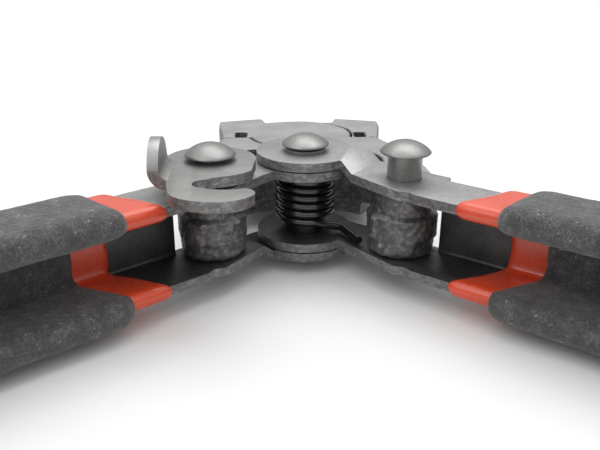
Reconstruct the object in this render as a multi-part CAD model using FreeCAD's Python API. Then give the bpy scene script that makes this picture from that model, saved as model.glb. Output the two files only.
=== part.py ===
"""Compound-action mini bolt cutters, lying flat with their handles wide open.

The origin is on the handle pivot's axis, level with the underside of that
rivet's foot. +X is to the right, +Y runs towards the cutting head and +Z is
up. Both handles are the same stamping, one turned over, and so are their grips.
"""
import FreeCAD, Part
import math
import os

from FreeCAD import Vector

os.makedirs("parts", exist_ok=True)

# ---- heights, all but the first from the middle plane of the handle channels
MIDDLE = 13.0
CHANNEL_HALF = 8.35
SHEET = 1.8
EAR_GAP = 0.25
TAIL_HALF = 6.3
HEAD_TOP = 6.3
HEAD_BOTTOM = -9.7
LAP_PLANE = -1.7
LAP_GAP = 0.1
SEAT_GAP = 0.03
BEYOND = 40.0

# ---- handle stamping, along (x) and across (y) the handle, from the pivot axis
SPREAD = 39.25
EAR_RADIUS = 10.0
FREE_EDGE = -5.6
WEB_FACE = 7.3
FAR_SHOULDER = 8.2
SHOULDER_START, SHOULDER_END = 15.0, 25.8
EAR_JOIN_NEAR = (4.0, -1.4)
EAR_JOIN_FAR_X = 5.7
NECK_X, NECK_Y = 13.4, -2.6
STOP_X, STOP_Y = 24.8, -5.72
NOTCH_X, NOTCH_Y = 26.9, -4.9
NOTCH_END = 28.6
JOGGLE_START, JOGGLE_END = 10.4, 13.0
WEB_START = 28.7
STRAIGHT_END = 62.0
CURVE_RADIUS = 330.0
CURVE_ANGLE = 15.5
BEND_RADIUS = 2.4
BEND_INNER_RADIUS = 0.7
CORNER = 0.5

# ---- grips
DIP = 0.8
DIP_NEAR, DIP_FAR = 36.8, 44.2
COVER_NEAR, COVER_FAR = 44.2, 46.2
COVER_HALF = 11.0
COVER_NEAR_FACE, COVER_FAR_FACE = -8.6, 9.6
COVER_MOUTH_HALF = 5.2
COVER_MOUTH_CORNER = 1.6
COVER_FLOOR = 4.1
TROUGH_NEAR, TROUGH_FAR = 44.6, 51.0
LOBE_RADIUS = 2.8
BACK_RADIUS = 6.5
COVER_END = 3.5
MOUTH_STOP_ANGLE = 0.3
DIP_CORNER = 0.4
DIP_END_ANGLE = 0.15

# ---- linkage at rest (handles wide open)
PIN_RADIUS_POSITION = 22.0
PIN_ANGLE = 33.5
PIN_X = PIN_RADIUS_POSITION * math.cos(math.radians(PIN_ANGLE))
PIN_Y = -PIN_RADIUS_POSITION * math.sin(math.radians(PIN_ANGLE))
HEAD_Y = 28.0
JAW_SWING = 15.17
CLOSED_PIVOT_DISTANCE = 22.75

# ---- pins and rivets
SHANK = 3.3
RUNNING = 0.05
HEAD_RADIUS = 4.84
HEAD_HEIGHT = 2.4
HEAD_RIM = 0.4
FOOT_RADIUS = 4.6
FOOT_CHAMFER = 0.7
TAIL_HEAD_HEIGHT = 2.3
WASHER_RADIUS, WASHER_THICK = 4.1, 0.5
SLEEVE_RADIUS = 4.3
OPEN_BORE = 4.3
STUD_RISE = 5.05

# ---- jaws, measured from the jaw pivot
KNUCKLE = 6.9
LAP_RADIUS = 12.2
LAP_CLEAR = 0.3
SHOULDER_Y = -3.0
HOLE_X0, HOLE_X1, HOLE_Y1 = 13.0, 15.6, 1.5
NOSE_Y = 32.0
TAPER_Y = 16.5
NOSE_TOP, NOSE_BOTTOM = 0.6, -4.0
EDGE_GAP = 0.15
EDGE_HALF = 0.5
BEVEL_WIDTH = 5.5
SWEEP_RING = EAR_RADIUS + 0.8
JAW_PIN_RADIUS = 4.0
JAW_PIN_TOP = 3.4
JAW_PIN_INSET = 0.1
JAW_PIN_ROOM = 0.3
THICK_RADIUS = 19.6
SWEEP_STEPS = 4
EDGE_ROOT = 9.7
BLADE_TIP = (-3.6, 31.3)
BLADE_FLANK = (-12.9, 23.2)
BLADE_SIDE = (-17.6, 12.5)
BLADE_HEEL_X, BLADE_INNER_X = -18.6, -8.0
TAPER_OVER = 6.0
TAIL_ROOT = (3.4, 17.0)
TAIL_INNER = [(10.5, 14.8), (14.6, 12.6), (16.4, 9.6), (16.7, 3.0), (15.6, -3.0), (12.6, -8.3)]
TAIL_OUTER = [(25.2, -12.6), (25.6, -4.0), (24.6, 6.0), (22.4, 14.5), (19.4, 21.4)]
TAIL_SHOULDER_X, TAIL_SEAT_X = 18.2, 9.0

# ---- opening spring
WIRE = 1.65
COIL_RADIUS = 5.4
COIL_TURNS = 5.3
COIL_PITCH = 1.76
COIL_GAP = 0.25
LEG_INSET = 0.9
LEG_RISE = 1.0
LOWER_LEG_UNDERSIDE = -6.2
LOWER_LEG = [(7.6, -4.0), (10.6, -11.2)]
UPPER_LEG = [(-8.6, -3.4), (-12.4, -6.2)]

# ---- latch, in plan as (radius, angle) from the left pin
WAVE_RADIUS, WAVE_THICK = 6.2, 1.75
LATCH_LIFT = 1.9
LATCH_SHEET = 1.95
HEAD_CLEAR = 0.45
LATCH_BOSS = 8.5
SLOT_INNER = [(10.6, -42), (10.8, -52), (10.9, -62), (11.0, -72), (11.2, -81), (12.3, -90)]
SLOT_END = (14.1, -98)
SLOT_OUTER = [(16.3, -91), (17.2, -85), (17.85, -77), (18.1, -70), (18.2, -67)]
TIP_SIDE = (19.9, -64.6)
HOOK_OUTER = [(22.1, -68), (23.1, -73), (23.6, -81), (23.0, -90), (21.8, -99), (19.2, -107)]
TAB_SIDE = (14.2, -118)
TAB_ROOT = 6.2
TAB_WIDTH = 11.4
TAB_MIDDLE = -6.7
TAB_BEND = 1.6
TAB_RISE = 4.4

UP = Vector(0, 0, 1)


def rotated(point, degrees, centre=(0.0, 0.0)):
    """A plan point turned anticlockwise about a centre."""
    angle = math.radians(degrees)
    x = point[0] - centre[0]
    y = point[1] - centre[1]
    return (centre[0] + x * math.cos(angle) - y * math.sin(angle),
            centre[1] + x * math.sin(angle) + y * math.cos(angle))


def polar(radius, degrees, centre=(0.0, 0.0)):
    """The plan point at a radius and an angle from a centre."""
    return rotated((centre[0] + radius, centre[1]), degrees, centre)


def prism(points, low, high):
    """A flat outline of straight sides, extruded between two heights."""
    corners = [Vector(x, y, low) for x, y in points]
    face = Part.Face(Part.makePolygon(corners + corners[:1]))
    return face.extrude(Vector(0, 0, high - low))


def smooth_prism(parts, low, high):
    """An outline of runs, extruded: each run is a list of plan points.

    A run of two points is a straight side; a longer run is a smooth curve.
    """
    edges = []
    for run in parts:
        points = [Vector(x, y, low) for x, y in run]
        if len(points) == 2:
            edges.append(Part.makeLine(points[0], points[1]))
        elif len(points) == 3:
            edges.append(Part.Arc(*points).toShape())
        else:
            curve = Part.BSplineCurve()
            curve.interpolate(points)
            edges.append(curve.toShape())
    return Part.Face(Part.Wire(edges)).extrude(Vector(0, 0, high - low))


def disc(radius, low, high, centre=(0.0, 0.0)):
    """An upright cylinder between two heights."""
    return Part.makeCylinder(radius, high - low, Vector(centre[0], centre[1], low))


def turned_over(shape):
    """The shape turned half a turn about the tool's long axis."""
    copy = shape.copy()
    copy.rotate(Vector(0, 0, 0), Vector(0, 1, 0), 180)
    return copy


def save(name, shape):
    """Write one node at its place above the resting plane."""
    placed = shape.copy()
    placed.translate(Vector(0, 0, MIDDLE))
    placed = placed.removeSplitter()
    placed.exportStep("parts/" + name + ".step")
    print(name, "valid", placed.isValid(), "solids", len(placed.Solids), "mm3", round(placed.Volume))


# ---- handles, drawn along +X and then swung out to the spread angle

def ear_plan(low, high):
    """The flat of one flange from its ear to where the web begins."""
    end = WEB_START + 0.5
    strip = prism([EAR_JOIN_NEAR, (NECK_X, NECK_Y), (STOP_X, STOP_Y), (NOTCH_X, NOTCH_Y),
                   (NOTCH_END, FREE_EDGE), (end, FREE_EDGE), (end, WEB_FACE), (SHOULDER_END, WEB_FACE),
                   (SHOULDER_START, FAR_SHOULDER), (EAR_JOIN_FAR_X, FAR_SHOULDER)], low, high)
    return disc(EAR_RADIUS, low, high).fuse(strip).removeSplitter()


def straight_ear():
    """The ear that stays in line with its flange, below the middle plane."""
    return ear_plan(-CHANNEL_HALF, SHEET - CHANNEL_HALF)


def joggled_ear():
    """The ear that is set outwards by one sheet, above the middle plane."""
    low = CHANNEL_HALF - SHEET
    step = SHEET + EAR_GAP
    profile = [(-BEYOND, low + step), (JOGGLE_START, low + step), (JOGGLE_END, low), (BEYOND, low)]
    corners = [Vector(x, -BEYOND, z) for x, z in profile]
    corners += [Vector(x, -BEYOND, z + SHEET) for x, z in reversed(profile)]
    sheet = Part.Face(Part.makePolygon(corners + corners[:1])).extrude(Vector(0, 2 * BEYOND, 0))
    return sheet.common(ear_plan(low - 1.0, CHANNEL_HALF + step + 1.0))


def rounded_section(near, far, half, near_radius, far_radius):
    """A closed section across the handle, rounded at its four corners."""
    corners = [(near, -half, near_radius), (far, -half, far_radius),
               (far, half, far_radius), (near, half, near_radius)]
    directions = [(1, 0), (0, 1), (-1, 0), (0, -1)]
    edges = []
    ends = []
    for index, (y, z, radius) in enumerate(corners):
        before = directions[index - 1]
        after = directions[index]
        start = Vector(0, y - before[0] * radius, z - before[1] * radius)
        stop = Vector(0, y + after[0] * radius, z + after[1] * radius)
        inset = radius * (1 - math.sqrt(0.5))
        middle = Vector(0, y + (after[0] - before[0]) * inset, z + (after[1] - before[1]) * inset)
        ends.append((start, stop))
        edges.append(Part.Arc(start, middle, stop).toShape())
    for index in range(4):
        edges.append(Part.makeLine(ends[index - 1][1], ends[index][0]))
    return Part.Face(Part.Wire(Part.__sortEdges__(edges)))


def swept(section, start, angle=CURVE_ANGLE):
    """A section carried along the straight part and round the long curve."""
    run = section.copy()
    run.translate(Vector(start, 0, 0))
    straight = run.extrude(Vector(STRAIGHT_END - start, 0, 0))
    bend = section.copy()
    bend.translate(Vector(STRAIGHT_END, 0, 0))
    curve = bend.revolve(Vector(STRAIGHT_END, -CURVE_RADIUS, 0), Vector(0, 0, -1), angle)
    return straight.fuse(curve).removeSplitter()


def slanted_start(near, far):
    """Everything on the pivot side of a cut that slants across the handle."""
    slope = (far - near) / (WEB_FACE - FREE_EDGE)
    near_x = near - slope * (BEYOND + FREE_EDGE)
    far_x = near + slope * (BEYOND - FREE_EDGE)
    return prism([(-BEYOND, -BEYOND), (near_x, -BEYOND), (far_x, BEYOND), (-BEYOND, BEYOND)], -BEYOND, BEYOND)


def channel():
    """One handle: two ears and the channel between them."""
    outer = rounded_section(-BEYOND, WEB_FACE, CHANNEL_HALF, CORNER, BEND_RADIUS)
    inner = rounded_section(-BEYOND - 1, WEB_FACE - SHEET, CHANNEL_HALF - SHEET, CORNER, BEND_INNER_RADIUS)
    keep = prism([(0, FREE_EDGE), (WEB_START, FREE_EDGE), (WEB_START, BEYOND), (0, BEYOND)], -BEYOND, BEYOND)
    trim = near_trim(FREE_EDGE)
    body = swept(outer, WEB_START).cut(swept(inner, WEB_START - 1)).cut(trim).cut(keep)
    return body.fuse([straight_ear(), joggled_ear()]).removeSplitter()


def near_trim(edge):
    """The space on the open side of the channel, up to its free edges."""
    return swept(rounded_section(-1.5 * BEYOND, edge, BEYOND, CORNER, 0.01), WEB_START - 2, CURVE_ANGLE + 3)


def shell_solid():
    """The channel with its dip coat, hollow inside."""
    outer = rounded_section(-BEYOND, WEB_FACE + DIP, CHANNEL_HALF + DIP, CORNER, BEND_RADIUS + DIP)
    inner = rounded_section(-BEYOND - 1, WEB_FACE - SHEET - DIP, CHANNEL_HALF - SHEET - DIP, CORNER, DIP_CORNER)
    hollow = swept(outer, WEB_START, CURVE_ANGLE + DIP_END_ANGLE).cut(swept(inner, WEB_START - 1, CURVE_ANGLE + 3))
    return hollow.cut(near_trim(FREE_EDGE - DIP))


def liner(shell, metal):
    """The thin dip coat that shows between the metal and the cover."""
    return shell.cut(slanted_start(DIP_NEAR, DIP_FAR)).cut(metal)


def cover(shell):
    """The thick outer cover, wrapped round both flanges and closed at its end."""
    outside = rounded_section(COVER_NEAR_FACE, COVER_FAR_FACE, COVER_HALF, LOBE_RADIUS, BACK_RADIUS)
    mouth = rounded_section(-BEYOND, COVER_FLOOR, COVER_MOUTH_HALF, CORNER, COVER_MOUTH_CORNER)
    extra = math.degrees(COVER_END / CURVE_RADIUS)
    body = swept(outside, WEB_START, CURVE_ANGLE + extra)
    body = body.cut(swept(mouth, WEB_START - 1, CURVE_ANGLE - MOUTH_STOP_ANGLE))
    inside = CHANNEL_HALF - SHEET - DIP
    level = Part.makeBox(4 * BEYOND, 4 * BEYOND, 2 * inside, Vector(-2 * BEYOND, -2 * BEYOND, -inside))
    setback = slanted_start(TROUGH_NEAR, TROUGH_FAR).common(level)
    return body.cut(slanted_start(COVER_NEAR, COVER_FAR)).cut(setback).cut(shell)


def swung(shape):
    """A handle part turned from its own axis to the open position."""
    copy = shape.copy()
    copy.rotate(Vector(0, 0, 0), UP, -SPREAD)
    return copy


def bored(shape, centre, radius):
    """The shape with an upright hole right through it."""
    return shape.cut(disc(radius, -BEYOND, BEYOND, centre))


# ---- rivets

def dome(radius, rim, height, base):
    """A domed head: a short rim with a spherical cap on it."""
    cap_radius = (radius * radius + height * height) / (2 * height)
    cap = Part.makeSphere(cap_radius, Vector(0, 0, base + rim + height - cap_radius))
    above = disc(radius, base + rim, base + rim + height + 1)
    return disc(radius, base, base + rim).fuse(cap.common(above))


def pan(radius, low, high):
    """A flat-faced head with a chamfered lower edge."""
    body = disc(radius, low + FOOT_CHAMFER, high)
    return body.fuse(Part.makeCone(radius - FOOT_CHAMFER, radius, FOOT_CHAMFER, Vector(0, 0, low)))


def rivet(head_base, foot, tail_base, centre):
    """A rivet with a domed head above and a flat peened head below."""
    body = disc(SHANK, tail_base - 0.5, head_base + 0.2)
    body = body.fuse(dome(HEAD_RADIUS, HEAD_RIM, HEAD_HEIGHT, head_base))
    body = body.fuse(pan(FOOT_RADIUS, foot, tail_base))
    body.translate(Vector(centre[0], centre[1], 0))
    return body.removeSplitter()


def washer(outer, low, high, centre=(0.0, 0.0)):
    """A flat ring round a rivet's shank."""
    return disc(outer, low, high, centre).cut(disc(SHANK + RUNNING, low - 1, high + 1, centre))


# ---- opening spring

def spring():
    """The coil's envelope round the sleeve, with its two legs of wire."""
    top = CHANNEL_HALF - SHEET - COIL_GAP
    low = top - COIL_TURNS * COIL_PITCH - WIRE / 2
    outer = COIL_RADIUS + WIRE / 2
    coil = disc(outer, low, top).cut(disc(COIL_RADIUS - WIRE / 2, low - 1, top + 1))
    upper_z = top - LEG_RISE
    lower_z = LOWER_LEG_UNDERSIDE + WIRE / 2
    lower_leg = wire_run([(outer - LEG_INSET, 1.0, low + LEG_RISE)] + [(x, y, lower_z) for x, y in LOWER_LEG])
    upper_leg = wire_run([(LEG_INSET - outer, 0.5, upper_z)] + [(x, y, upper_z) for x, y in UPPER_LEG])
    return coil.fuse([lower_leg, upper_leg]).removeSplitter()


def wire_run(points):
    """Straight runs of round wire with a ball at each corner."""
    places = [Vector(*point) for point in points]
    pieces = [Part.makeSphere(WIRE / 2, place) for place in places]
    for start, stop in zip(places, places[1:]):
        run = stop - start
        pieces.append(Part.makeCylinder(WIRE / 2, run.Length, start, run))
    return pieces[0].fuse(pieces[1:])


# ---- jaws, drawn for the right tail, whose blade is on the left

def closed_to_open(point):
    """A blade point drawn with the jaws shut, moved to the open pose."""
    x, y = rotated(point, JAW_SWING)
    return (x, y + HEAD_Y)


def blade():
    """The blade: flat above and below, tapered to its nose, bevelled at its edge."""
    edge = closed_to_open((-EDGE_GAP, EDGE_ROOT))
    nose = closed_to_open((-EDGE_GAP, NOSE_Y))
    tip = closed_to_open(BLADE_TIP)
    flank = closed_to_open(BLADE_FLANK)
    side = closed_to_open(BLADE_SIDE)
    heel = (BLADE_HEEL_X, HEAD_Y + SHOULDER_Y)
    inner = (BLADE_INNER_X, HEAD_Y + SHOULDER_Y)
    body = smooth_prism([[edge, nose], [nose, tip], [tip, flank, side], [side, heel],
                         [heel, inner], [inner, edge]], HEAD_BOTTOM, HEAD_TOP)
    for cutter in blade_cutters():
        body = body.cut(cutter)
    hole_y = HEAD_Y + SHOULDER_Y - 1
    hole = prism([(-HOLE_X1, hole_y), (-HOLE_X0, hole_y),
                  (-HOLE_X0, HEAD_Y + HOLE_Y1), (-HOLE_X1, HEAD_Y + HOLE_Y1)], -BEYOND, BEYOND)
    return body.cut(hole)


def blade_cutters():
    """The two nose tapers and the two bevels of the cutting edge."""
    cutters = []
    for face, nose, edge in ((HEAD_TOP, NOSE_TOP, LAP_PLANE + EDGE_HALF),
                             (HEAD_BOTTOM, NOSE_BOTTOM, LAP_PLANE - EDGE_HALF)):
        outside = face + math.copysign(TAPER_OVER, face)
        beyond_nose = NOSE_Y + TAPER_OVER
        taper = [Vector(-BEYOND, TAPER_Y, face), Vector(-BEYOND, NOSE_Y, nose), Vector(-BEYOND, beyond_nose, nose),
                 Vector(-BEYOND, beyond_nose, outside), Vector(-BEYOND, TAPER_Y, outside)]
        cutters.append(Part.Face(Part.makePolygon(taper + taper[:1])).extrude(Vector(2 * BEYOND, 0, 0)))
        start_y = LAP_RADIUS + LAP_CLEAR
        bevel = [Vector(-BEVEL_WIDTH, start_y, face), Vector(-EDGE_GAP, start_y, edge), Vector(2, start_y, edge),
                 Vector(2, start_y, outside), Vector(-BEVEL_WIDTH, start_y, outside)]
        cutters.append(Part.Face(Part.makePolygon(bevel + bevel[:1])).extrude(Vector(0, BEYOND, 0)))
    for cutter in cutters:
        cutter.rotate(Vector(0, 0, 0), UP, JAW_SWING)
        cutter.translate(Vector(0, HEAD_Y, 0))
    return cutters


def tail(low, high):
    """The arm from the head to the knuckle round the handle's pin."""
    shoulder_y = HEAD_Y + SHOULDER_Y - LAP_CLEAR
    shoulder = (TAIL_SHOULDER_X, shoulder_y)
    seat = (TAIL_SEAT_X, shoulder_y)
    pin = (PIN_X, PIN_Y)
    arm = smooth_prism([[TAIL_ROOT, TAIL_INNER[0]], TAIL_INNER, [TAIL_INNER[-1], pin],
                        [pin, TAIL_OUTER[0]], TAIL_OUTER, [TAIL_OUTER[-1], shoulder],
                        [shoulder, seat], [seat, TAIL_ROOT]], low, high)
    return arm.fuse(disc(KNUCKLE, low, high, pin))


def pivot_path():
    """Where the handle pivot stands as seen from this jaw, open to shut."""
    shut = rotated((0.0, HEAD_Y - CLOSED_PIVOT_DISTANCE), JAW_SWING, (0.0, HEAD_Y))
    return [(shut[0] * step / SWEEP_STEPS, shut[1] * step / SWEEP_STEPS) for step in range(SWEEP_STEPS + 1)]


def jaw(mirrored, top_layer, bore):
    """One jaw forging: tail, lap disc and blade."""
    arm = tail(-TAIL_HALF, TAIL_HALF)
    root = tail(HEAD_BOTTOM, HEAD_TOP).common(disc(THICK_RADIUS, -BEYOND, BEYOND, (0.0, HEAD_Y)))
    thick = blade().fuse(root)
    for place in pivot_path():
        thick = thick.cut(disc(SWEEP_RING, HEAD_BOTTOM - 1, -TAIL_HALF, place))
    body = thick.fuse(arm)
    if mirrored:
        body = body.mirror(Vector(0, 0, 0), Vector(1, 0, 0))
    if top_layer:
        other_layer = disc(LAP_RADIUS + LAP_CLEAR, HEAD_BOTTOM - 1, LAP_PLANE + LAP_GAP, (0.0, HEAD_Y))
        lap = disc(LAP_RADIUS, LAP_PLANE + LAP_GAP, HEAD_TOP, (0.0, HEAD_Y))
    else:
        other_layer = disc(LAP_RADIUS + LAP_CLEAR, LAP_PLANE - LAP_GAP, HEAD_TOP + 1, (0.0, HEAD_Y))
        lap = disc(LAP_RADIUS, HEAD_BOTTOM, LAP_PLANE - LAP_GAP, (0.0, HEAD_Y))
    side = -1 if mirrored else 1
    body = body.cut(other_layer).fuse(lap)
    body = body.cut(disc(JAW_PIN_RADIUS + RUNNING, HEAD_BOTTOM - 1, JAW_PIN_TOP + JAW_PIN_ROOM, (0.0, HEAD_Y)))
    return bored(body, (side * PIN_X, PIN_Y), bore).removeSplitter()


# ---- latch

def latch():
    """The hook plate on the left pin, with its slot and turned-up thumb tab."""
    low = CHANNEL_HALF + LATCH_LIFT
    inner = [polar(*place) for place in SLOT_INNER]
    outer = [polar(*place) for place in SLOT_OUTER]
    hook = [polar(*place) for place in HOOK_OUTER]
    boss_start, boss_end = polar(LATCH_BOSS, 180), polar(LATCH_BOSS, -12)
    plate = smooth_prism([
        [boss_start, polar(LATCH_BOSS, 84), boss_end],
        [boss_end, inner[0]],
        inner,
        [inner[-1], polar(*SLOT_END), outer[0]],
        outer,
        [outer[-1], polar(*TIP_SIDE), hook[0]],
        hook,
        [hook[-1], polar(*TAB_SIDE)],
        [polar(*TAB_SIDE), boss_start],
    ], low, low + LATCH_SHEET)
    plate = plate.fuse(thumb_tab(low)).removeSplitter()
    plate.translate(Vector(-PIN_X, PIN_Y, 0))
    return bored(plate, (-PIN_X, PIN_Y), SHANK + RUNNING)


def thumb_tab(low):
    """The tab at the plate's left edge: a quarter bend with a round-topped wall on it."""
    outer = TAB_BEND + LATCH_SHEET
    near, far = TAB_MIDDLE - TAB_WIDTH / 2, TAB_MIDDLE + TAB_WIDTH / 2
    corner = Vector(-TAB_ROOT, near, low + outer)
    root = Part.makeBox(1.0, TAB_WIDTH, LATCH_SHEET, Vector(-TAB_ROOT - 0.1, near, low))
    bend = Part.makeCylinder(outer, TAB_WIDTH, corner, Vector(0, 1, 0))
    bend = bend.cut(Part.makeCylinder(TAB_BEND, TAB_WIDTH, corner, Vector(0, 1, 0)))
    bend = bend.common(Part.makeBox(outer, TAB_WIDTH, outer, Vector(-TAB_ROOT - outer, near, low)))
    wall_x = -TAB_ROOT - outer
    top = low + outer + TAB_RISE
    points = [Vector(wall_x, near, low + outer), Vector(wall_x, far, low + outer),
              Vector(wall_x, TAB_MIDDLE, top)]
    wall_edges = [Part.makeLine(points[0], points[1]), Part.Arc(points[1], points[2], points[0]).toShape()]
    wall = Part.Face(Part.Wire(wall_edges)).extrude(Vector(LATCH_SHEET, 0, 0))
    return root.fuse([bend, wall])


def wave_washer():
    """The springy washer that keeps the latch plate where it is put."""
    low = CHANNEL_HALF + RUNNING
    return washer(WAVE_RADIUS, low, low + WAVE_THICK, (-PIN_X, PIN_Y))


# ---- the assembly

def build():
    """Make and save every node."""
    pin_holes = [(PIN_X, PIN_Y), (0.0, 0.0)]
    metal = channel()
    shell = shell_solid()
    coat = liner(shell, metal)
    grip = cover(shell)
    handle = swung(metal)
    for hole in pin_holes:
        handle = bored(handle, hole, SHANK + RUNNING)
    save("right_handle_channel", handle)
    save("left_handle_channel", turned_over(handle))
    save("right_grip_liner", swung(coat))
    save("left_grip_liner", turned_over(swung(coat)))
    save("right_grip_cover", swung(grip))
    save("left_grip_cover", turned_over(swung(grip)))

    save("right_tail_jaw", jaw(False, True, OPEN_BORE))
    save("left_tail_jaw", jaw(True, False, SHANK + RUNNING))
    save("jaw_pivot_pin", disc(JAW_PIN_RADIUS, HEAD_BOTTOM + JAW_PIN_INSET, JAW_PIN_TOP,
                               (0.0, HEAD_Y)))

    ear_face = CHANNEL_HALF + EAR_GAP + SHEET
    washer_base = ear_face + SEAT_GAP
    head_base = washer_base + WASHER_THICK + SEAT_GAP
    save("handle_pivot_rivet", rivet(head_base, -MIDDLE, -head_base, (0.0, 0.0)))
    save("upper_pivot_washer", washer(WASHER_RADIUS, washer_base, washer_base + WASHER_THICK))
    save("lower_pivot_washer", washer(WASHER_RADIUS, -washer_base - WASHER_THICK, -washer_base))
    sleeve_half = CHANNEL_HALF - SHEET - RUNNING
    save("pivot_sleeve", washer(SLEEVE_RADIUS, -sleeve_half, sleeve_half))
    save("opening_spring", spring())

    flange_foot = -CHANNEL_HALF - SEAT_GAP
    latch_top = CHANNEL_HALF + LATCH_LIFT + LATCH_SHEET
    save("left_jaw_rivet", rivet(latch_top + HEAD_CLEAR, flange_foot - TAIL_HEAD_HEIGHT, flange_foot, (-PIN_X, PIN_Y)))
    save("right_latch_stud", rivet(CHANNEL_HALF + STUD_RISE - HEAD_RIM, flange_foot - TAIL_HEAD_HEIGHT,
                                   flange_foot, (PIN_X, PIN_Y)))
    save("latch_wave_washer", wave_washer())
    save("latch_hook", latch())


build()
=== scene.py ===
"""Looks of the compound-action mini bolt cutters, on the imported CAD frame."""
import bmesh
import bpy
import math
from mathutils import Matrix, Vector, noise


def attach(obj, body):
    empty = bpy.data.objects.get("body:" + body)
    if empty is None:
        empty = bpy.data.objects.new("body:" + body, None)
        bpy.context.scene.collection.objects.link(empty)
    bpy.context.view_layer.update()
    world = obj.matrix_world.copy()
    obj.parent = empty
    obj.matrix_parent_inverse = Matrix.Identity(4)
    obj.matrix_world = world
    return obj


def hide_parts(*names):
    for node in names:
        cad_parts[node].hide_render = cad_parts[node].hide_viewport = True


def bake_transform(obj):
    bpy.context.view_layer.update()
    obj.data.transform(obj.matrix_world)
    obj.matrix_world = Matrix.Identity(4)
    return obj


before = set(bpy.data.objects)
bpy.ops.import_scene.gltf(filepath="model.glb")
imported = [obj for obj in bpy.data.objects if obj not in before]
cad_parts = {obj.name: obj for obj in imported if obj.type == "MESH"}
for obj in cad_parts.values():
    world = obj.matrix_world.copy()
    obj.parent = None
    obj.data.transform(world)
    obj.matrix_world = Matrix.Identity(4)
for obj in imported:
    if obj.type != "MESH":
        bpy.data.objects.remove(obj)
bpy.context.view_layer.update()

# ---- sizes in millimetres, heights from the middle plane of the handles
MM = 0.001
MIDDLE = 13.0
SPREAD = math.radians(39.25)
FREE_EDGE, WEB_FACE = -5.6, 7.3
CHANNEL_HALF = 8.35
STRAIGHT_END, CURVE_RADIUS = 62.0, 330.0
PIN_X, PIN_Y = 18.345, -12.143
NOSE_START = 33.0

# the handle stamping: its softened edges, and what counts as web, along and across the handle
STAMPING_EDGE = 0.24
WEB_ALONG, WEB_ACROSS, WEB_SKIN = 27.5, 3.0, 0.9
WEB_INSIDE_HALF = 6.8

# the dip coat and the grip sleeve: how far along the handle they start, slant and end
COAT_FRONT, COAT_SLANT, COAT_INNER_SLANT = 36.7, 5.2, 2.6
COAT_WOBBLE = 0.22
COAT_STEP, COAT_STEPS = 1.3, 8
SLEEVE_FRONT, SLEEVE_SLANT = 44.3, 0.12
TROUGH_FRONT, TROUGH_SLANT = 44.9, 0.5
SLEEVE_NOSE, SLEEVE_BODY = 4.2, 101
SLEEVE_CLOSED, SLEEVE_REACH = 149.6, 154.7

# the jaw forgings: their skin, and the knuckle's reach round its pin
SKIN_VOXEL, SKIN_ROUNDS = 0.34, 2
KNUCKLE_CORE, KNUCKLE_REACH, KNUCKLE_EDGE = 4.8, 12.0, 6.9
KNUCKLE_SHARE, KNUCKLE_LIMIT = 0.955, 1.02

# rivets
SHANK, FLANGE, HEAD_RADIUS, HEAD_RIM = 3.29, 4.6, 4.84, 0.35
FOOT_CHAMFER = 0.7
JAW_RIVET_FOOT, JAW_RIVET_TAIL = -10.68, -8.38

# the opening spring
WIRE_ACROSS, COIL_RADIUS, COIL_TURNS, COIL_PITCH, COIL_TOP = 1.6, 5.4, 5.3, 1.72, 5.4
COIL_STEPS = 40

# the latch and its wave washer
LATCH_EDGE, LATCH_TOP = 0.36, 12.6
WASHER_INNER, WASHER_OUTER, WASHER_THICK, WASHER_RISE = 3.5, 6.1, 0.5, 1.2
WASHER_GAP, WASHER_WAVES, WASHER_STEPS = 0.08, 3, 120

# the camera: where it stands, its pitch, turn and roll in radians, its sensor and lens
EYE = (-6.42, -141.84, 64.7)
PITCH, TURN, ROLL = 0.388, 0.038, 0.005
SENSOR, LENS = 36.0, 43.14


# ---- mesh helpers

def add_object(name, mesh):
    """A new object in the scene for a mesh."""
    obj = bpy.data.objects.new(name, mesh)
    bpy.context.scene.collection.objects.link(obj)
    return obj


def mesh_from(name, points, faces):
    """An object made of points in millimetres above the resting plane."""
    mesh = bpy.data.meshes.new(name)
    mesh.from_pydata([Vector(p) * MM for p in points], [], faces)
    mesh.validate()
    obj = add_object(name, mesh)
    tidy_normals(obj)
    return obj


def tidy_normals(obj):
    """Joined points and outward normals."""
    work = bmesh.new()
    work.from_mesh(obj.data)
    bmesh.ops.remove_doubles(work, verts=work.verts, dist=1e-6)
    bmesh.ops.recalc_face_normals(work, faces=work.faces)
    work.to_mesh(obj.data)
    work.free()


def smooth(obj, degrees=35):
    """Smooth shading that keeps edges sharper than an angle."""
    for polygon in obj.data.polygons:
        polygon.use_smooth = True
    obj.data.set_sharp_from_angle(angle=math.radians(degrees))


def apply_modifiers(obj):
    """The object's mesh with its modifiers baked in."""
    graph = bpy.context.evaluated_depsgraph_get()
    mesh = bpy.data.meshes.new_from_object(obj.evaluated_get(graph))
    obj.modifiers.clear()
    obj.data = mesh


def node_copy(node, name):
    """A clean copy of a CAD node's mesh, with flat areas as single faces."""
    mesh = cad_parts[node].data.copy()
    mesh.materials.clear()
    obj = add_object(name, mesh)
    work = bmesh.new()
    work.from_mesh(mesh)
    bmesh.ops.remove_doubles(work, verts=work.verts, dist=2e-6)
    bmesh.ops.dissolve_limit(work, angle_limit=math.radians(1.0), verts=work.verts, edges=work.edges)
    bmesh.ops.recalc_face_normals(work, faces=work.faces)
    work.to_mesh(mesh)
    work.free()
    return obj


def bevelled(node, name, width, materials, segments=3, angle=32):
    """A copy of a CAD node with softened edges, which take the last of its materials."""
    obj = node_copy(node, name)
    for material in materials:
        obj.data.materials.append(material)
    bevel = obj.modifiers.new("edges", "BEVEL")
    bevel.width = width * MM
    bevel.segments = segments
    bevel.limit_method = "ANGLE"
    bevel.angle_limit = math.radians(angle)
    bevel.use_clamp_overlap = True
    bevel.material = len(materials) - 1
    apply_modifiers(obj)
    smooth(obj)
    return obj


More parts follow.
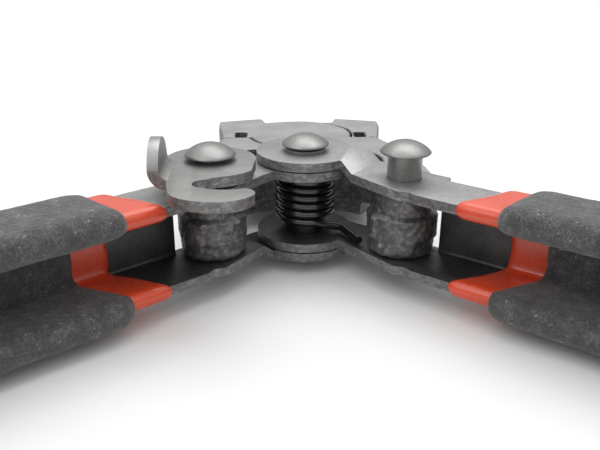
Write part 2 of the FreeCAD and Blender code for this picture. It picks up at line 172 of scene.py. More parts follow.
def remeshed(node, name, voxel, rounds):
    """A copy of a CAD node as an even, slightly rounded skin."""
    obj = node_copy(node, name)
    remesh = obj.modifiers.new("skin", "REMESH")
    remesh.mode = "VOXEL"
    remesh.voxel_size = voxel * MM
    apply_modifiers(obj)
    relax = obj.modifiers.new("relax", "SMOOTH")
    relax.factor = 0.5
    relax.iterations = rounds
    apply_modifiers(obj)
    return obj


def displaced(obj, shift):
    """Each point moved along its normal by shift(point in mm, normal), in mm."""
    normals = [v.normal.copy() for v in obj.data.vertices]
    for vertex, normal in zip(obj.data.vertices, normals):
        place = vertex.co / MM - Vector((0, 0, MIDDLE))
        vertex.co += normal * shift(place, normal) * MM
    obj.data.update()


def lathe(name, profile, centre, steps=96):
    """A turned piece: profile is (radius, height) from its bottom to its top."""
    points, faces = [], []
    for radius, height in profile:
        for k in range(steps):
            angle = 2 * math.pi * k / steps
            points.append((centre[0] + radius * math.cos(angle), centre[1] + radius * math.sin(angle),
                           height + MIDDLE))
    for row in range(len(profile) - 1):
        for k in range(steps):
            after = (k + 1) % steps
            faces.append((row * steps + k, row * steps + after,
                          (row + 1) * steps + after, (row + 1) * steps + k))
    faces.append(tuple(range(steps))[::-1])
    last = (len(profile) - 1) * steps
    faces.append(tuple(range(last, last + steps)))
    obj = mesh_from(name, points, faces)
    smooth(obj, 50)
    return obj


def step01(value, low, high):
    """A smooth step from 0 at low to 1 at high."""
    t = min(max((value - low) / (high - low), 0.0), 1.0)
    return t * t * (3 - 2 * t)


def grain(place, size, seed=0.0):
    """Even noise of about a size in mm, from -1 to 1."""
    return noise.noise((place + Vector((seed, seed * 1.7, seed * 0.6))) / size)


def handle_point(s, y, z, left):
    """A point given along and across a handle, in the row frame in mm."""
    if s <= STRAIGHT_END:
        along, across = s, y
    else:
        angle = (s - STRAIGHT_END) / CURVE_RADIUS
        along = STRAIGHT_END + (CURVE_RADIUS + y) * math.sin(angle)
        across = -CURVE_RADIUS + (CURVE_RADIUS + y) * math.cos(angle)
    x = along * math.cos(SPREAD) + across * math.sin(SPREAD)
    v = -along * math.sin(SPREAD) + across * math.cos(SPREAD)
    return (-x, v, MIDDLE - z) if left else (x, v, MIDDLE + z)


def in_handle(place, left):
    """Along and across a handle for a point in the row frame, straight part only."""
    x = -place[0] if left else place[0]
    return (x * math.cos(SPREAD) - place[1] * math.sin(SPREAD),
            x * math.sin(SPREAD) + place[1] * math.cos(SPREAD))


# ---- materials

class Recipe:
    """A node material under construction."""

    def __init__(self, name, **constants):
        self.material = bpy.data.materials.new(name)
        self.material.use_nodes = True
        self.tree = self.material.node_tree
        self.shader = self.tree.nodes["Principled BSDF"]
        for socket, value in constants.items():
            self.shader.inputs[socket.replace("_", " ")].default_value = value
        self.place = self.node("ShaderNodeTexCoord").outputs["Object"]

    def node(self, kind, **settings):
        """A new node with its settings."""
        node = self.tree.nodes.new(kind)
        for key, value in settings.items():
            setattr(node, key, value)
        return node

    def link(self, source, target):
        """A link from an output to an input."""
        self.tree.links.new(source, target)

    def stretched(self, scale, turn=0.0):
        """Object coordinates scaled along each axis and turned about Z."""
        mapping = self.node("ShaderNodeMapping")
        mapping.inputs["Scale"].default_value = scale
        mapping.inputs["Rotation"].default_value = (0, 0, turn)
        self.link(self.place, mapping.inputs["Vector"])
        return mapping.outputs["Vector"]

    def noise(self, size, detail=4.0, rough=0.6, vector=None, distortion=0.0):
        """Noise with features of about a size in millimetres."""
        texture = self.node("ShaderNodeTexNoise")
        texture.inputs["Scale"].default_value = 1 / (size * MM)
        texture.inputs["Detail"].default_value = detail
        texture.inputs["Roughness"].default_value = rough
        texture.inputs["Distortion"].default_value = distortion
        self.link(vector or self.place, texture.inputs["Vector"])
        return texture.outputs["Fac"]

    def cells(self, size, feature="F1"):
        """Distance to the nearest of a scatter of points about a size in millimetres apart."""
        texture = self.node("ShaderNodeTexVoronoi", feature=feature)
        texture.inputs["Scale"].default_value = 1 / (size * MM)
        self.link(self.place, texture.inputs["Vector"])
        return texture.outputs["Distance"]

    def ramp(self, factor, stops):
        """A colour or grey ramp; stops are (place, grey or colour)."""
        ramp = self.node("ShaderNodeValToRGB")
        elements = ramp.color_ramp.elements
        while len(elements) < len(stops):
            elements.new(0.5)
        for element, (place, value) in zip(elements, stops):
            element.position = place
            element.color = (*value, 1) if isinstance(value, tuple) else (value, value, value, 1)
        self.link(factor, ramp.inputs["Fac"])
        return ramp.outputs["Color"]

    def mix(self, factor, first, second, blend="MIX"):
        """Two colours mixed by a factor."""
        mix = self.node("ShaderNodeMix", data_type="RGBA", blend_type=blend)
        for socket, value in (("Factor", factor), ("A", first), ("B", second)):
            target = [s for s in mix.inputs if s.name == socket and s.enabled][0]
            if isinstance(value, (int, float)):
                target.default_value = value
            else:
                self.link(value, target)
        return [s for s in mix.outputs if s.enabled][0]

    def math(self, operation, first, second=None):
        """One arithmetic step on sockets or numbers."""
        node = self.node("ShaderNodeMath", operation=operation)
        for socket, value in zip(node.inputs, (first, second)):
            if isinstance(value, (int, float)):
                socket.default_value = value
            elif value is not None:
                self.link(value, socket)
        return node.outputs[0]

    def bump(self, height, distance, strength=1.0, before=None):
        """A bumped normal; distance is in millimetres and before is a normal to build on."""
        bump = self.node("ShaderNodeBump")
        bump.inputs["Strength"].default_value = strength
        bump.inputs["Distance"].default_value = distance * MM
        self.link(height, bump.inputs["Height"])
        if before is not None:
            self.link(before, bump.inputs["Normal"])
        return bump.outputs["Normal"]

    def facing_up(self, low, high):
        """1 on level faces and 0 on upright ones."""
        normal = self.node("ShaderNodeNewGeometry").outputs["Normal"]
        split = self.node("ShaderNodeSeparateXYZ")
        self.link(normal, split.inputs[0])
        level = self.math("ABSOLUTE", split.outputs["Z"])
        return self.ramp(level, [(low, 0.0), (high, 1.0)])

    def worn(self, colour, light, low=0.52, high=0.6):
        """The colour with a lighter tint rubbed into its raised edges."""
        ridge = self.node("ShaderNodeNewGeometry").outputs["Pointiness"]
        rub = self.math("MULTIPLY", self.ramp(ridge, [(low, 0.0), (high, 1.0)]), self.noise(1.2, 3.0, 0.6))
        shade = tuple(c * 0.8 for c in light)
        return self.mix(rub, colour, self.ramp(self.noise(0.6), [(0.3, light), (0.7, shade)]))

    def done(self, colour=None, roughness=None, normal=None):
        """The material, with its maps linked to the shader."""
        for socket, source in (("Base Color", colour), ("Roughness", roughness), ("Normal", normal)):
            if source is not None:
                self.link(source, self.shader.inputs[socket])
        return self.material


def pressed_steel(name, dark, light):
    """Rolled sheet with faint stains, fine grain and handling scuffs."""
    r = Recipe(name, Metallic=0.82)
    stain = r.noise(9.0, 5.0, 0.62)
    speck = r.noise(0.7, 3.0, 0.7)
    scuff = r.noise(0.5, 2.0, 0.5, r.stretched((1, 7, 1), 0.5))
    colour = r.ramp(stain, [(0.3, dark), (0.7, light)])
    colour = r.mix(0.35, colour, r.ramp(speck, [(0.35, 0.16), (0.62, 0.52)]), "SOFT_LIGHT")
    rough = r.ramp(scuff, [(0.3, 0.38), (0.7, 0.56)])
    normal = r.bump(scuff, 0.02, 0.5, r.bump(stain, 0.12, 0.25))
    return r.done(colour, rough, normal)


def cut_steel():
    """The sheared edge of the sheet: dark, streaked along the cut."""
    r = Recipe("cut_steel_edge", Metallic=0.7)
    streak = r.noise(1.2, 4.0, 0.7, r.stretched((1, 1, 1.8)))
    pit = r.noise(0.5, 3.0, 0.65)
    colour = r.ramp(streak, [(0.3, (0.13, 0.128, 0.125)), (0.52, (0.22, 0.217, 0.212)),
                             (0.72, (0.38, 0.375, 0.37))])
    colour = r.mix(0.4, colour, r.ramp(pit, [(0.36, 0.12), (0.6, 0.52)]), "SOFT_LIGHT")
    rough = r.ramp(pit, [(0.3, 0.42), (0.7, 0.66)])
    normal = r.bump(streak, 0.1, 0.5, r.bump(pit, 0.04, 0.4))
    return r.done(colour, rough, normal)


def ground_steel():
    """Freshly ground faces of the cutting edges, with fine wheel marks."""
    r = Recipe("ground_steel", Metallic=0.88)
    lay = r.noise(0.45, 3.0, 0.6, r.stretched((1, 10, 1), 0.9))
    tone = r.noise(4.0, 4.0, 0.55)
    colour = r.ramp(tone, [(0.3, (0.26, 0.26, 0.26)), (0.7, (0.37, 0.37, 0.365))])
    colour = r.mix(0.35, colour, r.ramp(lay, [(0.35, 0.2), (0.65, 0.55)]), "SOFT_LIGHT")
    return r.done(colour, r.ramp(lay, [(0.3, 0.4), (0.7, 0.55)]), r.bump(lay, 0.03, 0.5))


def forged_steel():
    """Dark forging scale on upright faces and ground steel on level ones."""
    r = Recipe("forged_steel", Metallic=0.75)
    scale = r.noise(1.1, 6.0, 0.7, distortion=0.3)
    pit = r.noise(0.45, 4.0, 0.7)
    lay = r.noise(0.5, 2.0, 0.5, r.stretched((1, 9, 1), 0.35))
    ground = r.ramp(r.noise(7.0, 5.0, 0.6), [(0.3, (0.31, 0.31, 0.31)), (0.7, (0.42, 0.42, 0.415))])
    ground = r.mix(0.3, ground, r.ramp(pit, [(0.4, 0.2), (0.6, 0.5)]), "SOFT_LIGHT")
    rough_skin = r.ramp(scale, [(0.3, (0.07, 0.069, 0.068)), (0.5, (0.13, 0.128, 0.126)),
                                (0.72, (0.26, 0.256, 0.252))])
    level = r.facing_up(0.9, 0.985)
    colour = r.mix(level, r.worn(rough_skin, (0.6, 0.59, 0.58), 0.525, 0.59), ground)
    rough = r.mix(level, r.ramp(pit, [(0.3, 0.38), (0.7, 0.66)]), r.ramp(lay, [(0.3, 0.42), (0.7, 0.56)]))
    height = r.mix(level, r.mix(0.45, scale, pit), r.ramp(lay, [(0.0, 0.4), (1.0, 0.6)]))
    return r.done(colour, rough, r.bump(height, 0.12, 0.4))


def turned_steel(name, tint, low, high):
    """Polished and slightly hammered steel, as on the rivet heads."""
    r = Recipe(name, Metallic=0.9)
    broad = r.noise(3.5, 4.0, 0.55)
    fine = r.noise(0.4, 3.0, 0.65)
    colour = r.ramp(broad, [(0.3, tuple(c * 0.8 for c in tint)), (0.7, tint)])
    colour = r.mix(0.3, colour, r.ramp(fine, [(0.38, 0.18), (0.6, 0.52)]), "SOFT_LIGHT")
    rough = r.ramp(fine, [(0.3, low), (0.7, high)])
    normal = r.bump(broad, 0.12, 0.35, r.bump(fine, 0.02, 0.4))
    return r.done(colour, rough, normal)


def dip_red():
    """Glossy dipped vinyl, slightly uneven."""
    r = Recipe("dip_red", Coat_Weight=0.35, Coat_Roughness=0.18)
    flow = r.noise(6.0, 3.0, 0.5)
    skin = r.noise(1.3, 3.0, 0.55)
    colour = r.ramp(flow, [(0.25, (0.56, 0.052, 0.016)), (0.75, (0.66, 0.072, 0.026))])
    rough = r.ramp(skin, [(0.3, 0.24), (0.7, 0.34)])
    return r.done(colour, rough, r.bump(flow, 0.2, 0.2))


def grip_dark():
    """Dark foamed grip with a fine pebbled skin and paler rubbed grains."""
    r = Recipe("grip_dark", Sheen_Weight=0.22, Sheen_Roughness=0.5)
    pebble = r.cells(0.75)
    fine = r.noise(0.4, 4.0, 0.72)
    patch = r.noise(2.4, 4.0, 0.65)
    mottle = r.mix(0.62, patch, fine)
    colour = r.ramp(mottle, [(0.36, (0.024, 0.023, 0.025)), (0.5, (0.058, 0.056, 0.058)),
                             (0.62, (0.125, 0.122, 0.122))])
    crumb = r.math("MULTIPLY", r.ramp(r.cells(1.1), [(0.12, 1.0), (0.2, 0.0)]),
                   r.ramp(patch, [(0.5, 0.0), (0.56, 1.0)]))
    colour = r.mix(crumb, colour, r.ramp(fine, [(0.3, (0.16, 0.155, 0.155)), (0.7, (0.3, 0.295, 0.29))]))
    rough = r.ramp(fine, [(0.3, 0.72), (0.7, 0.95)])
    normal = r.bump(pebble, 0.16, 0.6, r.bump(fine, 0.16, 0.8))
    return r.done(colour, rough, normal)


def spring_wire():
    """Dark, oiled music wire with draw marks."""
    r = Recipe("spring_steel", Metallic=0.85)
    draw = r.noise(0.5, 3.0, 0.6, r.stretched((1, 1, 4)))
    colour = r.ramp(draw, [(0.3, (0.035, 0.035, 0.036)), (0.7, (0.11, 0.11, 0.11))])
    rough = r.ramp(draw, [(0.3, 0.14), (0.7, 0.26)])
    return r.done(colour, rough, r.bump(draw, 0.02, 0.4))


STEEL = pressed_steel("pressed_steel", (0.30, 0.30, 0.30), (0.41, 0.405, 0.40))
WORN = pressed_steel("rubbed_steel", (0.30, 0.298, 0.294), (0.58, 0.575, 0.565))
# painted shade: a dark copy of the pressed steel for the faces inside the channel
SHADED_INSIDE = pressed_steel("painted_shade_steel", (0.07, 0.069, 0.069), (0.14, 0.138, 0.136))
EDGE = cut_steel()
FORGED = forged_steel()
GROUND = ground_steel()
RIVET = turned_steel("rivet_steel", (0.30, 0.30, 0.295), 0.32, 0.48)
WASHER = turned_steel("washer_steel", (0.30, 0.30, 0.295), 0.34, 0.5)
SLEEVE = turned_steel("sleeve_steel", (0.09, 0.09, 0.092), 0.2, 0.34)
LATCH = turned_steel("latch_steel", (0.36, 0.355, 0.35), 0.36, 0.5)
WORN_LATCH = turned_steel("rubbed_latch_steel", (0.5, 0.495, 0.485), 0.3, 0.44)
RED = dip_red()
DARK = grip_dark()
WIRE = spring_wire()


def finish_piece(obj, material, body, slot, *nodes):
    """Material, body and the CAD nodes that the piece stands for; the finish slot is not used."""
    if not obj.data.materials:
        obj.data.materials.append(material)
    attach(obj, body)
    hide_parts(*nodes)


# ---- handle stampings: softened edges, with the sheared faces a material of their own

def handle_channel(side):
    """A pressed handle: its faces take sheared edge steel, outside steel, or a dark copy of the steel
    painted as shade on the faces inside the channel.
    """
    left = side == "left"
    obj = bevelled(side + "_handle_channel", side + "_stamping", STAMPING_EDGE,
                   (STEEL, EDGE, SHADED_INSIDE, WORN), 3, 40)
    for polygon in obj.data.polygons:
        if polygon.material_index == 3:
            continue
        centre = polygon.center / MM - Vector((0, 0, MIDDLE))
        along, across = in_handle(centre, left)
        level = polygon.normal.z
        on_web = along > WEB_ALONG and across > WEB_ACROSS
        shaded_web_inside = on_web and across < WEB_FACE - WEB_SKIN and abs(centre.z) < WEB_INSIDE_HALF
        if abs(level) < 0.55 and not on_web:
            polygon.material_index = 1
        # faces turned towards the middle plane, and those inside the web, take the dark steel as painted
        # shade inside the channel
        elif level * centre.z < -0.1 or shaded_web_inside:
            polygon.material_index = 2
    finish_piece(obj, STEEL, side + "_handle", "pressed_steel", side + "_handle_channel")


# ---- the dipped coat and the outer cover, lofted along the handle

COAT = {"near": -6.4, "back": 8.1, "half": 9.15, "corner": 3.2,
        "floor": 4.7, "inside": 5.75, "fillet": 1.5}
BARE = {"near": -5.65, "back": 7.32, "half": 8.37, "corner": 2.4,
        "floor": 5.48, "inside": 6.53, "fillet": 0.8}
COVER = {"near": -8.6, "back": 9.6, "half": 11.0, "corner": 6.3,
         "floor": 4.1, "inside": 5.2, "fillet": 1.7}


def blended(first, second, share):
    """A section part of the way from one to another."""
    return {key: first[key] + (second[key] - first[key]) * share for key in first}


def section(shape):
    """A channel's cross-section as (across, height): inside it, round its lips and over its back."""
    points = []

    def arc(cy, cz, radius, start, stop, count):
        """Points round an arc, in degrees."""
        for k in range(count + 1):
            angle = math.radians(start + (stop - start) * k / count)
            points.append((cy + radius * math.cos(angle), cz + radius * math.sin(angle)))

    def run(y0, z0, y1, z1, count):
        """Points between the ends of a straight run."""
        points.extend((y0 + (y1 - y0) * k / count, z0 + (z1 - z0) * k / count) for k in range(1, count))

    half, back, corner = shape["half"], shape["back"], shape["corner"]
    inside, floor, fillet = shape["inside"], shape["floor"], shape["fillet"]
    lip = (half - inside) / 2
    lip_y = shape["near"] + lip
    arc(lip_y, half - lip, lip, 90, 270, 12)
    run(lip_y, inside, floor - fillet, inside, 9)
    arc(floor - fillet, inside - fillet, fillet, 90, 0, 6)
    run(floor, inside - fillet, floor, fillet - inside, 10)
    arc(floor - fillet, fillet - inside, fillet, 0, -90, 6)
    run(floor - fillet, -inside, lip_y, -inside, 9)
    arc(lip_y, lip - half, lip, 90, 270, 12)
    run(lip_y, -half, back - corner, -half, 9)
    arc(back - corner, corner - half, corner, -90, 0, 10)
    run(back, corner - half, back, half - corner, 8)
    arc(back - corner, half - corner, corner, 0, 90, 10)
    run(back - corner, half, lip_y, half, 9)
    return points


def lofted(name, rings):
    """A skin over rings of points, closed at both ends."""
    count = len(rings[0])
    points = [p for ring in rings for p in ring]
    faces = []
    for row in range(len(rings) - 1):
        for k in range(count):
            after = (k + 1) % count
            faces.append((row * count + k, row * count + after,
                          (row + 1) * count + after, (row + 1) * count + k))
    last = (len(rings) - 1) * count
    faces.append(tuple(range(count)))
    faces.append(tuple(range(last, last + count)))
    return mesh_from(name, points, faces)


def dip_coat(side):
    """The red coat, thickening from bare steel at its slanted, slightly wavy front."""
    left = side == "left"
    rings = []
    places = section(COAT)
    stations = [(0.0, 0.0), (0.1, 0.32), (0.35, 0.62), (0.8, 0.86), (1.5, 1.0)]
    stations += [(1.5 + COAT_STEP * k, 1.0) for k in range(1, COAT_STEPS + 1)]
    for advance, share in stations:
        ring = []
        for (y, z), (y_full, z_full) in zip(section(blended(BARE, COAT, share)), places):
            inner = (1 - step01(abs(z_full), 5.9, 8.2)) * (1 - step01(y_full, 5.0, 7.2))
            slant = (y_full - FREE_EDGE) / (WEB_FACE - FREE_EDGE)
            wobble = COAT_WOBBLE * math.sin(0.8 * z_full + 0.6 * y_full)
            front = COAT_FRONT + slant * (COAT_SLANT + COAT_INNER_SLANT * inner) + wobble
            ring.append(handle_point(front + advance, y, z, left))
        rings.append(ring)
    obj = lofted(side + "_dip_coat", rings)
    smooth(obj, 60)
    finish_piece(obj, RED, side + "_handle", "dip_red", side + "_grip_liner")


def cover_front(y, z):
    """How far along the handle the cover starts, at a place on its section."""
    inner = (1 - step01(abs(z), 5.3, 8.0)) * (1 - step01(y, 4.6, 8.0))
    outer = SLEEVE_FRONT + SLEEVE_SLANT * (y - COVER["near"])
    setback = TROUGH_FRONT + TROUGH_SLANT * (y - FREE_EDGE)
    return outer + (max(setback, outer) - outer) * inner


def grip_sleeve(side, seed):
    """The thick cover, rounded at its front and closed over the handle's end."""
    left = side == "left"
    places = section(COVER)
    advances = [SLEEVE_NOSE * (1 - math.cos(math.radians(90 * k / 9))) for k in range(10)]
    body = [SLEEVE_NOSE + k for k in range(1, SLEEVE_BODY + 1)]
    rings = []
    for advance in advances + body:
        share = math.sqrt(1 - (1 - min(advance / SLEEVE_NOSE, 1.0)) ** 2)
        ring = []
        for (y, z), (y_full, z_full) in zip(section(blended(COAT, COVER, share)), places):
            front = cover_front(y_full, z_full)
            late = advance / (SLEEVE_NOSE + SLEEVE_BODY)
            s = front + advance + late * (SLEEVE_CLOSED - SLEEVE_NOSE - SLEEVE_BODY - front)
            ring.append(handle_point(s, y, z, left))
        rings.append(ring)
    # the last rings fill the trough and round the end: (along, how far filled, shrink)
    filled = dict(COVER, floor=COVER["near"] + 3.4, inside=0.6, fillet=0.3)
    for s, share, shrink in ((149.9, 0.5, 0.0), (150.3, 1.0, 0.0), (152.0, 1.0, 0.0), (153.4, 1.0, 0.35),
                             (154.2, 1.0, 1.0), (SLEEVE_REACH, 1.0, 2.0)):
        shape = blended(COVER, filled, share)
        shape.update(near=shape["near"] + shrink, back=shape["back"] - shrink, half=shape["half"] - shrink)
        rings.append([handle_point(s, y, z, left) for y, z in section(shape)])
    obj = lofted(side + "_grip_sleeve", rings)

    def pebbles(place, normal):
        """The grip's fine and broad unevenness, nearly all of it inwards."""
        return 0.05 * grain(place, 1.6, seed) + 0.16 * grain(place, 11.0, seed + 5) - 0.16

    displaced(obj, pebbles)
    smooth(obj, 80)
    finish_piece(obj, DARK, side + "_handle", "grip_dark", side + "_grip_cover")


# ---- the jaw forgings: rounded, with a banded and pitted knuckle

def knuckle_radius(place, pin, seed):
    """The forging's rough reach round its handle pin, as a share of the plain drum."""
    angle = math.atan2(place.y - pin[1], place.x - pin[0])
    around = Vector((KNUCKLE_EDGE * math.cos(angle), KNUCKLE_EDGE * math.sin(angle), place.z))
    upper = -0.12 * step01(place.z, 1.5, 2.1)
    lower = -0.03 * step01(-place.z, 2.8, 3.2) - 0.12 * step01(-place.z, 5.2, 7.4)
    pad = 0.075 * step01(grain(Vector((around.x, around.y, place.z * 0.3)), 5.0, seed), -0.1, 0.0)
    pad *= 1 - step01(abs(place.z + 0.7), 1.9, 2.3)
    facets = 0.022 * round(2.0 * grain(around, 4.5, seed + 4))
    rough = 0.014 * grain(around, 1.6, seed + 8) + 0.006 * grain(around, 0.7, seed + 2)
    return KNUCKLE_SHARE + upper + lower + pad + facets + rough


def jaw_forging(side, seed):
    """A jaw with rough forged flanks and knuckle, and ground faces towards its nose."""
    sign = 1 if side == "right" else -1
    pin = (sign * PIN_X, PIN_Y)
    node = side + "_tail_jaw"
    obj = remeshed(node, side + "_jaw_forging", SKIN_VOXEL, SKIN_ROUNDS)
    for vertex in obj.data.vertices:
        place = vertex.co / MM - Vector((0, 0, MIDDLE))
        out = Vector((place.x - pin[0], place.y - pin[1]))
        if out.length < KNUCKLE_CORE or out.length > KNUCKLE_REACH:
            continue
        free = 1 - step01(out.length, 7.6, KNUCKLE_REACH)
        free *= step01(out.length, KNUCKLE_CORE, 5.6)
        share = 1 + (min(knuckle_radius(place, pin, seed), KNUCKLE_LIMIT) - 1) * free
        vertex.co.x = (pin[0] + out.x * share) * MM
        vertex.co.y = (pin[1] + out.y * share) * MM
    obj.data.update()

    def shift(place, normal):
        """The forging's roughness, on its upright flanks."""
        flank = 1 - abs(normal.z)
        return flank * (0.10 * grain(place, 2.4, seed) + 0.06 * grain(place, 0.9, seed + 3) - 0.08)

    displaced(obj, shift)
    smooth(obj, 30)
    for material in (FORGED, GROUND):
        obj.data.materials.append(material)
    for polygon in obj.data.polygons:
        if polygon.center.y > NOSE_START * MM and 0.22 < abs(polygon.normal.z) < 0.97:
            polygon.material_index = 1
    finish_piece(obj, FORGED, side + "_jaw", "forged_steel", node)


# ---- rivets

def dome_profile(radius, base, height, rim):
    """A domed head above base: rim, soft shoulder and spherical cap."""
    cap = (radius * radius + height * height) / (2 * height)
    profile = [(radius - 0.4, base), (radius - 0.12, base + 0.06),
               (radius, base + rim * 0.55), (radius, base + rim)]
    for k in range(1, 19):
        r = (radius - 0.06) * (1 - k / 19)
        profile.append((r, base + rim + height - cap + math.sqrt(cap * cap - r * r)))
    return profile


def rivet_piece(name, node, body, centre, head_base, height, foot, tail_base):
    """A rivet from its peened foot, up its shank, to its domed head."""
    profile = [(0.01, foot), (FLANGE - 0.9, foot), (FLANGE - 0.5, foot + 0.12),
               (FLANGE, foot + FOOT_CHAMFER), (FLANGE, tail_base - 0.25), (FLANGE - 0.2, tail_base),
               (SHANK, tail_base + 0.02), (SHANK, head_base - 0.45), (SHANK + 0.16, head_base - 0.1)]
    profile += dome_profile(HEAD_RADIUS, head_base, height, HEAD_RIM)
    profile.append((0.01, head_base + HEAD_RIM + height))
    obj = lathe(name, profile, centre)
    finish_piece(obj, RIVET, body, "rivet_steel", node)


# ---- the opening spring: real wire, twisted between the two handles

def wire_tube(name, route, radius, sides=16):
    """A round wire along a route of points in mm, with closed ends."""
    points, faces = [], []
    up = Vector((0, 0, 1))
    count = len(route)
    for index, place in enumerate(route):
        ahead = Vector(route[min(index + 1, count - 1)]) - Vector(route[max(index - 1, 0)])
        ahead.normalize()
        side = ahead.cross(up)
        side = side.normalized() if side.length > 0.05 else Vector((1, 0, 0))
        rise = side.cross(ahead).normalized()
        for k in range(sides):
            angle = 2 * math.pi * k / sides
            offset = side * math.cos(angle) * radius + rise * math.sin(angle) * radius
            points.append(Vector(place) + offset + Vector((0, 0, MIDDLE)))
    for row in range(count - 1):
        for k in range(sides):
            after = (k + 1) % sides
            faces.append((row * sides + k, row * sides + after,
                          (row + 1) * sides + after, (row + 1) * sides + k))
    faces.append(tuple(range(sides)))
    faces.append(tuple(range((count - 1) * sides, count * sides)))
    obj = mesh_from(name, points, faces)
    smooth(obj, 60)
    return obj


def opening_spring():
    """The wound wire with its two legs, one on each handle."""
    turns, top = COIL_TURNS, COIL_TOP
    low = top - turns * COIL_PITCH
    route = [(-12.2, -6.0, top), (-9.6, -4.6, top), (-7.4, -2.9, top), (-6.1, -1.4, top)]
    count = int(turns * COIL_STEPS)
    start, total = math.pi, turns * 2 * math.pi
    for k in range(count + 1):
        share = k / count
        angle = start + total * share
        route.append((COIL_RADIUS * math.cos(angle), COIL_RADIUS * math.sin(angle),
                      top + (low - top) * share))
    last = Vector(route[-1])
    ahead = Vector((-math.sin(start + total), math.cos(start + total), 0))
    route.append(tuple(last + ahead * 1.4 + Vector((0, 0, -0.5))))
    route += [(7.3, -3.6, -5.3), (8.7, -6.6, -5.4), (10.3, -10.6, -5.4)]
    obj = wire_tube("opening_spring_wire", route, WIRE_ACROSS / 2)
    obj.data.materials.append(WIRE)
    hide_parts("opening_spring")
    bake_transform(obj)


# ---- latch plate and its spring washer

def latch_plate():
    """The hooked latch, with sheared flanks and a softened thumb tab."""
    obj = bevelled("latch_hook", "latch_plate", LATCH_EDGE, (LATCH, EDGE, WORN_LATCH), 4, 35)
    for polygon in obj.data.polygons:
        if abs(polygon.normal.z) > 0.6 or polygon.center.z > (MIDDLE + LATCH_TOP) * MM:
            polygon.material_index = 0
        elif abs(polygon.normal.z) < 0.3:
            polygon.material_index = 1
    finish_piece(obj, LATCH, "latch", "latch_steel", "latch_hook")


def wave_washer():
    """A thin ring of spring steel with three waves."""
    points, faces = [], []
    corners = [(WASHER_INNER, 0.0), (WASHER_OUTER, 0.0), (WASHER_OUTER, WASHER_THICK),
               (WASHER_INNER, WASHER_THICK)]
    for k in range(WASHER_STEPS):
        angle = 2 * math.pi * k / WASHER_STEPS
        wave = CHANNEL_HALF + WASHER_GAP + WASHER_RISE * (0.5 - 0.5 * math.cos(WASHER_WAVES * angle))
        for radius, lift in corners:
            points.append((-PIN_X + radius * math.cos(angle), PIN_Y + radius * math.sin(angle),
                           wave + lift + MIDDLE))
    for k in range(WASHER_STEPS):
        after = (k + 1) % WASHER_STEPS
        for c in range(4):
            d = (c + 1) % 4
            faces.append((k * 4 + c, k * 4 + d, after * 4 + d, after * 4 + c))
    obj = mesh_from("latch_spring_washer", points, faces)
    smooth(obj, 50)
    finish_piece(obj, WASHER, "left_handle", "washer_steel", "latch_wave_washer")


for side_name in ("right", "left"):
    handle_channel(side_name)
    dip_coat(side_name)
    grip_sleeve(side_name, 3.0 if side_name == "right" else 17.0)
jaw_forging("right", 11.0)
jaw_forging("left", 37.0)

rivet_piece("centre_rivet", "handle_pivot_rivet", "left_handle", (0.0, 0.0), 11.45, 1.95, -MIDDLE, -10.96)
rivet_piece("left_jaw_pin", "left_jaw_rivet", "left_handle", (-PIN_X, PIN_Y), 12.9, 2.1,
            JAW_RIVET_FOOT, JAW_RIVET_TAIL)
rivet_piece("latch_stud", "right_latch_stud", "right_handle", (PIN_X, PIN_Y), 13.2, 2.1,
            JAW_RIVET_FOOT, JAW_RIVET_TAIL)
opening_spring()
latch_plate()
wave_washer()

for node, material in (("jaw_pivot_pin", RIVET), ("upper_pivot_washer", WASHER),
                       ("lower_pivot_washer", WASHER), ("pivot_sleeve", SLEEVE)):
    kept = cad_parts[node]
    kept.data.materials.clear()
    kept.data.materials.append(material)


# ---- floor, light and camera

def floor():
    """A plain pale floor just under the tool."""
    mesh = bpy.data.meshes.new("floor")
    half = 6.0
    corners = [(-half, -half, 0), (half, -half, 0), (half, half, 0), (-half, half, 0)]
    mesh.from_pydata(corners, [], [(0, 1, 2, 3)])
    obj = add_object("floor", mesh)
    obj.location.z = -0.0002
    r = Recipe("floor", Roughness=0.9)
    obj.data.materials.append(r.done(r.ramp(r.noise(400.0, 2.0, 0.5), [(0.3, 0.72), (0.7, 0.74)])))


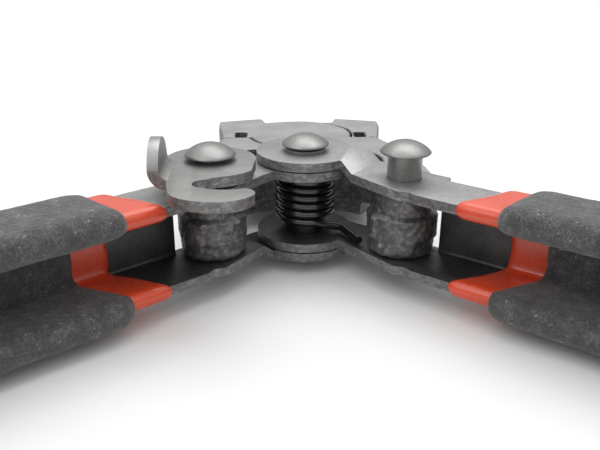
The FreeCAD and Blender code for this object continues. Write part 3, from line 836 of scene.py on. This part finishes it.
def sky():
    """A soft dome, brightest overhead."""
    world = bpy.data.worlds.new("studio")
    world.use_nodes = True
    tree = world.node_tree
    back = tree.nodes["Background"]
    place = tree.nodes.new("ShaderNodeTexCoord")
    split = tree.nodes.new("ShaderNodeSeparateXYZ")
    ramp = tree.nodes.new("ShaderNodeValToRGB")
    ramp.color_ramp.elements[0].position = 0.05
    ramp.color_ramp.elements[0].color = (0.22, 0.22, 0.22, 1)
    ramp.color_ramp.elements[1].position = 0.75
    ramp.color_ramp.elements[1].color = (1, 1, 1, 1)
    tree.links.new(place.outputs["Generated"], split.inputs[0])
    tree.links.new(split.outputs["Z"], ramp.inputs["Fac"])
    tree.links.new(ramp.outputs["Color"], back.inputs["Color"])
    back.inputs["Strength"].default_value = 1.3
    bpy.context.scene.world = world


def softbox(name, place, target, size, power):
    """A soft rectangular light aimed at a point, in metres and watts."""
    light = bpy.data.lights.new(name, "AREA")
    light.shape = "RECTANGLE"
    light.size, light.size_y = size
    light.energy = power
    obj = bpy.data.objects.new(name, light)
    bpy.context.scene.collection.objects.link(obj)
    obj.location = place
    obj.rotation_mode = "QUATERNION"
    obj.rotation_quaternion = (Vector(target) - Vector(place)).to_track_quat("-Z", "Y")


def camera():
    """The view from the handle side, looking towards the head and down."""
    data = bpy.data.cameras.new("camera")
    data.sensor_width = SENSOR
    data.lens = LENS
    data.clip_start, data.clip_end = 0.005, 20.0
    obj = bpy.data.objects.new("camera", data)
    bpy.context.scene.collection.objects.link(obj)
    level = math.cos(PITCH)
    forward = Vector((math.sin(TURN) * level, math.cos(TURN) * level, -math.sin(PITCH)))
    right = Vector((math.cos(TURN), -math.sin(TURN), 0))
    up = right.cross(forward)
    right, up = (right * math.cos(ROLL) + up * math.sin(ROLL),
                 up * math.cos(ROLL) - right * math.sin(ROLL))
    turned = Matrix((right, up, -forward)).transposed().to_4x4()
    obj.matrix_world = Matrix.Translation(Vector(EYE) * MM) @ turned
    bpy.context.scene.camera = obj


floor()
sky()
softbox("key", (0.1, 0.25, 0.9), (0, 0, 0), (0.9, 0.6), 4.0)
softbox("fill", (-0.6, -0.5, 0.7), (0, 0, 0), (0.6, 0.6), 1.5)
camera()
bpy.context.scene.view_settings.view_transform = "Standard"
